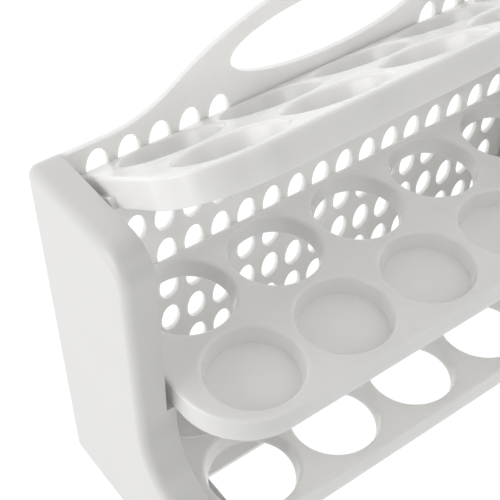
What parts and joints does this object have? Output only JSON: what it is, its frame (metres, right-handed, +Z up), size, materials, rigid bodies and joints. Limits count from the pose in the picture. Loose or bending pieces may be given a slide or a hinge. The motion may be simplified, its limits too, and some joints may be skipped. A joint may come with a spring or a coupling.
{
  "type": "egg holder",
  "caption": "Tiered egg holder: flip-up cup trays on pins between hollow ends, with a perforated back panel that arches into a carrying handle.",
  "frame": {"origin": "on the floor, in the middle of the holder's length and depth", "axes": "+X along the holder towards its right end, +Y towards the back panel, +Z up"},
  "size_m": [0.2886, 0.1054, 0.2225],
  "materials": {
    "tray_plastic": "white, glossy moulded",
    "panel_plastic": "white, glossy moulded",
    "end_plastic": "white, satin moulded",
    "pin_plastic": "off-white, turned from rod"
  },
  "bodies": {
    "frame": {"back_panel": "panel_plastic", "floor_strip": "panel_plastic", "left_end_cover": "end_plastic", "right_end_cover": "end_plastic", "left_end_plate": "end_plastic", "right_end_plate": "end_plastic", "bottom_tray": "tray_plastic"},
    "middle_tray": {"middle_tray": "tray_plastic", "middle_tray_left_pin": "pin_plastic", "middle_tray_right_pin": "pin_plastic"},
    "top_tray": {"top_tray": "tray_plastic", "top_tray_left_pin": "pin_plastic", "top_tray_right_pin": "pin_plastic"}
  },
  "joints": [
    {"name": "middle_tray_flip", "type": "hinge", "parent": "frame", "child": "middle_tray", "pos_m": [0, 0.03745, 0.096], "axis": [-1, 0, 0], "range_deg": [0, 38]},
    {"name": "top_tray_flip", "type": "hinge", "parent": "frame", "child": "top_tray", "pos_m": [0, 0.03745, 0.166], "axis": [-1, 0, 0], "range_deg": [-35, 55]}
  ]
}
